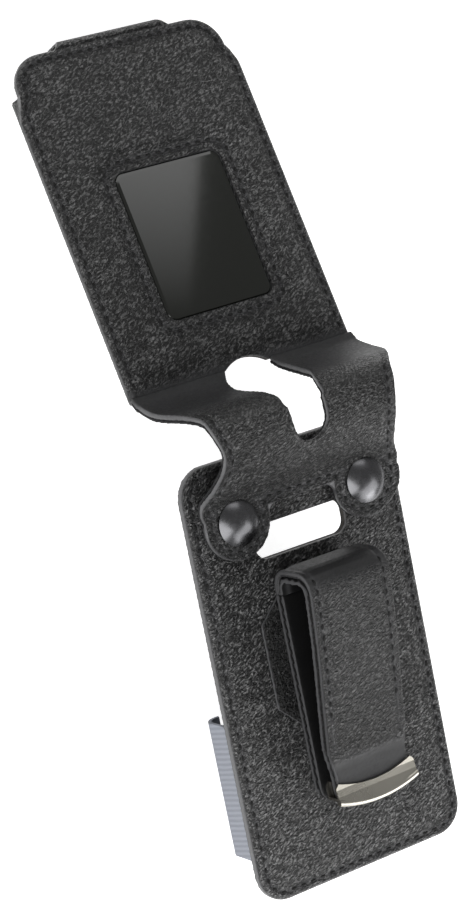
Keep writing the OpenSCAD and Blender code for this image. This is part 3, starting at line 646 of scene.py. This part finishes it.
def shape_back(co, n):
    x, y, z = co.T
    middle = PATCH_Z + CLIP_LEATHER + CLIP_SPRING / 2
    face = smoothstep(np.abs(n[:, 0]), 0.4, 0.15)
    inner_side = smoothstep(np.abs(z - middle), CLIP_SPRING / 2 + 0.5, CLIP_SPRING / 2 + 0.1)
    co = co + n * (close_gap(CLIP_W / 2 - np.abs(x), inner_side * face))[:, None]
    # The whole back leg is plain, so it takes painted shade.
    return co, smoothstep(np.abs(n[:, 0]), 0.5, 0.85), np.ones(len(x))


def shape_patch(co, n):
    side = smoothstep(1 - np.abs(n[:, 2]), 0.3, 0.7)
    return co, side, np.zeros(len(side))


lid_leather = skin("lid_cover", "lid_leather", "lid", M_LEATHER, FINE, ON_LID, shape_lid)
base_leather = skin("base_cover", "base_leather", "base", M_BASE_PAINTED_LIGHT, FINE, ON_BASE, shape_base)
STRAP_START = ON_BASE @ Vector((0, -4.0, 16.0))
STRAP_END = ON_BASE @ Vector((0, 20.8, 5.0))
strap_blend = ("strap", "lid", STRAP_START, STRAP_END)
strap_piece = skin("hinge_strap", "strap_leather", None, M_STRAP, TRIM_FINE, ON_BASE, shape_strap,
                   blend=strap_blend)
skin("strap_lining", "strap_inner", None, M_LINING, PLAIN_FINE, ON_BASE, shape_strap,
     blend=strap_blend)
clip_leather = skin("clip_front_cover", "clip_front_leather", "clip_arm", M_CLIP, TRIM_FINE, ON_BASE,
                    shape_clip)
skin("clip_front_lining", "clip_front_inner", "clip_arm", M_SMOOTH_SHADED, PLAIN_FINE, ON_BASE, shape_clip)
skin("clip_back_cover", "clip_back_leather", "base", M_SMOOTH_SHADED, PLAIN_FINE, ON_BASE, shape_back)
skin("clip_back_lining", "clip_back_inner", "base", M_SMOOTH_SHADED, PLAIN_FINE, ON_BASE, shape_back)
patch_piece = skin("clip_patch", "patch_leather", "base", M_PATCH, PLAIN_FINE, ON_BASE, shape_patch,
                   passes=8)

for node in ("base_lining", "lid_lining"):
    dress(node, M_LINING)
for node in ("base_board", "lid_board"):
    dress(node, M_BOARD)
for node in ("side_band_left", "side_band_right"):
    dress(node, M_ELASTIC)
for node in ("snap_cap_left", "snap_cap_right"):
    dress(node, M_CAP)
    nodes[node].data.polygons.foreach_set("use_smooth", [True] * len(nodes[node].data.polygons))
for node in ("snap_stud_left", "snap_stud_right", "snap_socket_left", "snap_socket_right"):
    dress(node, M_BRASS)
for node in ("clip_plate", "clip_rivets"):
    dress(node, M_STEEL)
dress("clip_tip", M_NICKEL)


def bent_spring():
    """The clip's steel strip, copied from its CAD node in spring steel, in place of that node."""
    steel = nodes["clip_spring"]
    obj = new_object("spring_strip", steel.data.copy())
    obj.matrix_world = steel.matrix_world.copy()
    obj.data.materials.clear()
    obj.data.materials.append(M_STEEL)
    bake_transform(obj)
    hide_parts("clip_spring")


bent_spring()


# Stitches

def resample(points, pitch, closed=False):
    """Points at an even pitch along a path, and the direction at each."""
    p = np.array(points, float)
    if closed:
        p = np.vstack([p, p[:1]])
    run = np.concatenate([[0], np.cumsum(np.linalg.norm(np.diff(p, axis=0), axis=1))])
    count = max(1, int(round(run[-1] / pitch)))
    at = (np.arange(count) + 0.5) * run[-1] / count

    def along(t):
        return np.stack([np.interp(np.clip(t, 0, run[-1]), run, p[:, k]) for k in range(3)], 1)

    way = along(at + 0.3) - along(at - 0.3)
    return along(at), way / np.linalg.norm(way, axis=1)[:, None]


def stitches(name, rows, matrix, on, body=None, blend=None, length=1.7, width=0.66, pitch=2.7):
    """A thread for each point on the leather: a short bowed capsule whose ends dip into it."""
    points = [v.co[:] for v in on.data.vertices]
    surface = BVHTree.FromPolygons(points, [f.vertices[:] for f in on.data.polygons])
    verts, faces = [], []
    ring, cuts = 6, 7
    for path, closed in rows:
        for p, t in zip(*resample(path, pitch, closed)):
            where = matrix @ Vector(p)
            ways = (matrix.to_3x3() @ Vector(t)).normalized()
            found, normal = surface.find_nearest(where)[:2]
            up = (normal - ways * normal.dot(ways)).normalized()
            side = ways.cross(up)
            start = len(verts)
            for k in range(cuts):
                u = k / (cuts - 1) * 2 - 1
                r = width / 2 * math.sqrt(max(0.05, 1 - 0.8 * u * u)) * MM
                centre = found + ways * (u * length / 2 * MM) + up * ((0.10 - 0.34 * u * u) * MM)
                for j in range(ring):
                    a = 2 * math.pi * j / ring
                    verts.append(centre + side * (r * math.cos(a)) + up * (r * 0.8 * math.sin(a)))
            for k in range(cuts - 1):
                for j in range(ring):
                    m = (j + 1) % ring
                    q = start + k * ring
                    faces.append((q + j, q + m, q + ring + m, q + ring + j))
            faces.append(tuple(start + j for j in reversed(range(ring))))
            faces.append(tuple(start + (cuts - 1) * ring + j for j in range(ring)))
    mesh = bpy.data.meshes.new(name)
    mesh.from_pydata([v[:] for v in verts], [], faces)
    mesh.polygons.foreach_set("use_smooth", [True] * len(mesh.polygons))
    mesh.materials.append(M_THREAD)
    obj = new_object(name, mesh)
    if blend:
        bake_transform(obj)
    else:
        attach(obj, body)


def arc(cx, cy, r, a0, a1, n=10):
    turns = [math.radians(a0 + (a1 - a0) * k / n) for k in range(n + 1)]
    return [(cx + r * math.cos(a), cy + r * math.sin(a)) for a in turns]


def round_box(cx, half_w, low_y, high_y, r):
    return (arc(cx + half_w - r, low_y + r, r, -90, 0) + arc(cx + half_w - r, high_y - r, r, 0, 90)
            + arc(cx - half_w + r, high_y - r, r, 90, 180) + arc(cx - half_w + r, low_y + r, r, 180, 270))


def at_height(points, z):
    return [(x, y, z) for x, y in points]


def pane():
    """The smoked film: a flange under the leather and a raised pane with a bevelled edge in the window."""
    top = LID_H - LID_LEATHER
    rings = [(FILM_LAP, top - FILM_T), (FILM_LAP, top), (-0.12, top), (-0.12, LID_H - 0.6),
             (-0.35, LID_H - 0.42), (-1.0, LID_H - 0.35)]
    verts, faces = [], []
    for grow, z in rings:
        outline = round_box(WINDOW_X, WINDOW_W / 2 + grow, WINDOW_AT - grow, WINDOW_AT + WINDOW_L + grow,
                            WINDOW_R + grow)
        count = len(outline)
        verts += at_height(outline, z)
    for k in range(len(rings) - 1):
        for j in range(count):
            m = (j + 1) % count
            faces.append((k * count + j, k * count + m, (k + 1) * count + m, (k + 1) * count + j))
    faces.append(tuple(reversed(range(count))))
    faces.append(tuple(range((len(rings) - 1) * count, len(rings) * count)))
    mesh = bpy.data.meshes.new("window_pane")
    mesh.from_pydata([(ON_LID @ Vector(v))[:] for v in verts], [], faces)
    mesh.materials.append(M_FILM)
    obj = new_object("window_pane", mesh)
    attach(obj, "lid")
    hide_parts("window_film")


pane()


def base_thread():
    line = round_box(0, BASE_W / 2 - BASE_SEAM, BASE_SEAM - BASE_REACH, BASE_TOP - BASE_SEAM, 5.0)
    stitches("base_thread", [(at_height(line, BASE_H), True)], ON_BASE, base_leather, "base")


def lid_thread():
    """One row up the sides and round the end, and one round the window."""
    half, narrow = LID_W / 2 - LID_SEAM, LID_NARROW_W / 2 - LID_SEAM
    right_side = [(half, CREASE + 1.5), (half, LID_NARROW_AT - LID_TAPER - 0.4),
                  (narrow + 0.1, LID_NARROW_AT - 0.5)]
    right_side += arc(narrow + LID_SEAM - LID_CORNER, LID_END - LID_CORNER, LID_CORNER - LID_SEAM, 0, 90)
    edge_line = right_side + [(-x, y) for x, y in reversed(right_side)]
    window_line = round_box(WINDOW_X, WINDOW_W / 2 + WINDOW_SEAM, WINDOW_AT - WINDOW_SEAM,
                            WINDOW_AT + WINDOW_L + WINDOW_SEAM, WINDOW_R + 1.0)
    rows = [(at_height(edge_line, LID_H), False), (at_height(window_line, LID_H), True)]
    stitches("lid_thread", rows, ON_LID, lid_leather, "lid")


def strap_thread():
    """One row down a side of the strap, round its tab, over the notch, and back up the other side."""
    side = [(half - STRAP_SEAM, y, z) for y, z, half in STRAP[15:-4:2]]
    tab = at_height(arc(SNAP_X, -SNAP_AT, TAB_R - STRAP_SEAM, 0, -168, 16), TAB_Z)
    notch = [(9.6, -6.2, 15.9), (0, -6.1, 15.95)]
    one_side = np.array(side + tab + notch)
    row = np.vstack([one_side, (one_side * (-1, 1, 1))[::-1]])
    row[:, 0] += strap_lean(row[:, 0], run_along(STRAP, row[:, 1], row[:, 2])[0])
    stitches("strap_thread", [(row, False)], ON_BASE, strap_piece, blend=strap_blend)


def clip_thread():
    """A row down each side of the front leg, from the crown to the tip."""
    rows = [([(side * (CLIP_W / 2 - CLIP_SEAM), y, z) for y, z in CLIP[8:19]], False) for side in (-1, 1)]
    stitches("clip_thread", rows, ON_BASE, clip_leather, "clip_arm")


def patch_thread():
    half = PATCH_W / 2 - PATCH_SEAM
    low = PATCH_SEAM - PATCH_AT - PATCH_L / 2
    high = PATCH_L / 2 - PATCH_AT - PATCH_SEAM
    cut = PATCH_CUT - 0.9
    line = [(half - cut, low), (half, low + cut), (half, high - cut), (half - cut, high),
            (cut - half, high), (-half, high - cut), (-half, low + cut), (cut - half, low)]
    stitches("patch_thread", [(at_height(line, PATCH_Z), True)], ON_BASE, patch_piece, "base")


base_thread()
lid_thread()
strap_thread()
clip_thread()
patch_thread()


# Camera, lights and floor

def camera():
    turn = Matrix.Rotation(math.radians(BASE_TILT), 3, "X")
    right = turn @ Vector(CAMERA_RIGHT)
    up = turn @ Vector(CAMERA_UP)
    right.normalize()
    up = (up - right * up.dot(right)).normalized()
    back = right.cross(up)
    data = bpy.data.cameras.new("camera")
    obj = new_object("camera", data)
    rot = Matrix((right, up, back)).transposed().to_4x4()
    obj.matrix_world = Matrix.Translation(ON_BASE @ Vector(CAMERA_AT)) @ rot
    data.sensor_width = SENSOR
    data.lens = SENSOR * PHOTO_FOCAL / PHOTO_HEIGHT
    data.clip_start = 0.01
    data.clip_end = 20.0
    bpy.context.scene.camera = obj
    return obj


def area(name, where, target, size, power):
    """A soft panel of light that faces its target."""
    data = bpy.data.lights.new(name, "AREA")
    data.shape = "RECTANGLE"
    data.size, data.size_y = size
    data.energy = power
    obj = new_object(name, data)
    way = Vector(target) - Vector(where)
    obj.matrix_world = Matrix.Translation(where) @ way.to_track_quat("-Z", "Y").to_matrix().to_4x4()
    return obj


def mirrored(frame, point, eye, distance):
    """Where the eye sees a reflection in a cover's face at a point, at that distance from it."""
    spot = frame @ Vector(point)
    normal = (frame.to_3x3() @ Vector((0, 0, 1))).normalized()
    view = (eye - spot).normalized()
    return spot + distance * (2 * view.dot(normal) * normal - view)


def window_light(eye):
    """A panel whose right edge shows in the window as the slanting line between light and dark.

    It is dark over its lower part, so that the reflection fades towards the window's foot.
    """
    distance, width, length, power = 0.8, 0.55, 0.6, 2.3
    upper = mirrored(ON_LID, (*SHINE_TOP, LID_H), eye, distance)
    lower = mirrored(ON_LID, (*SHINE_FOOT, LID_H), eye, distance)
    along = (upper - lower).normalized()
    target = ON_LID @ Vector((WINDOW_X, WINDOW_AT + WINDOW_L / 2, LID_H))
    away = ((upper + lower) / 2 - target).normalized()
    side = along.cross(away).normalized()
    if side.x > 0:
        side = -side
    middle = (upper + lower) / 2 + side * width / 2
    obj = area("window_light", middle, target, (width, length), power)
    obj.data.use_nodes = True
    tree = obj.data.node_tree
    spread = add(tree, "ShaderNodeNewGeometry")
    parts = add(tree, "ShaderNodeSeparateXYZ")
    fade = add(tree, "ShaderNodeMapRange", in_1=0.43, in_2=0.55, in_3=0.0, in_4=1.0)
    link(tree, spread.outputs["Parametric"], parts.inputs[0])
    link(tree, parts.outputs["Y"], fade.inputs[0])
    link(tree, fade.outputs[0], tree.nodes["Emission"].inputs["Strength"])
    back = side.cross(along).normalized()
    if back.dot(away) < 0:
        side, back = -side, -back
    obj.matrix_world = Matrix.Translation(middle) @ Matrix((side, along, back)).transposed().to_4x4()


eye = camera().matrix_world.translation
window_light(eye)
area("left", (-0.34, -0.28, 0.38), (0, 0, 0.02), (0.5, 0.5), 3.0)
area("low", (0.36, -0.6, 0.45), (0, -0.05, 0.02), (0.8, 0.5), 3.6)
area("crest", (0.40, -0.66, 0.21), (0, 0, 0.02), (0.3, 0.3), 1.3)
area("far", (-0.45, 0.68, 0.32), (0, 0, 0.02), (0.22, 0.22), 0.9)


def even_sky():
    world = bpy.data.worlds.new("world")
    bpy.context.scene.world = world
    world.use_nodes = True
    world.node_tree.nodes["Background"].inputs[0].default_value = (1, 1, 1, 1)
    world.node_tree.nodes["Background"].inputs[1].default_value = 0.3


def white_floor():
    """A matt floor that takes the shadow and glows to the camera, in reflections and through glass."""
    bpy.ops.mesh.primitive_plane_add(size=6.0, location=(0, 0, -0.0003))
    floor = bpy.context.object
    floor.name = "floor"
    white, tree, shader = new_material("white_floor")
    shader.inputs["Base Color"].default_value = (0.9, 0.9, 0.9, 1)
    shader.inputs["Roughness"].default_value = 0.9
    rays = add(tree, "ShaderNodeLightPath")
    seen = add(tree, "ShaderNodeMath", operation="MAXIMUM")
    link(tree, rays.outputs["Is Camera Ray"], seen.inputs[0])
    link(tree, rays.outputs["Is Glossy Ray"], seen.inputs[1])
    through = add(tree, "ShaderNodeMath", operation="MAXIMUM")
    link(tree, seen.outputs[0], through.inputs[0])
    link(tree, rays.outputs["Is Transmission Ray"], through.inputs[1])
    glow = add(tree, "ShaderNodeEmission")
    glow.inputs["Strength"].default_value = 0.75
    both = add(tree, "ShaderNodeAddShader")
    link(tree, shader.outputs[0], both.inputs[0])
    link(tree, glow.outputs[0], both.inputs[1])
    pick = add(tree, "ShaderNodeMixShader")
    link(tree, through.outputs[0], pick.inputs[0])
    link(tree, shader.outputs[0], pick.inputs[1])
    link(tree, both.outputs[0], pick.inputs[2])
    link(tree, pick.outputs[0], tree.nodes["Material Output"].inputs[0])
    floor.data.materials.append(white)


even_sky()
white_floor()
bpy.context.scene.view_settings.view_transform = "Standard"
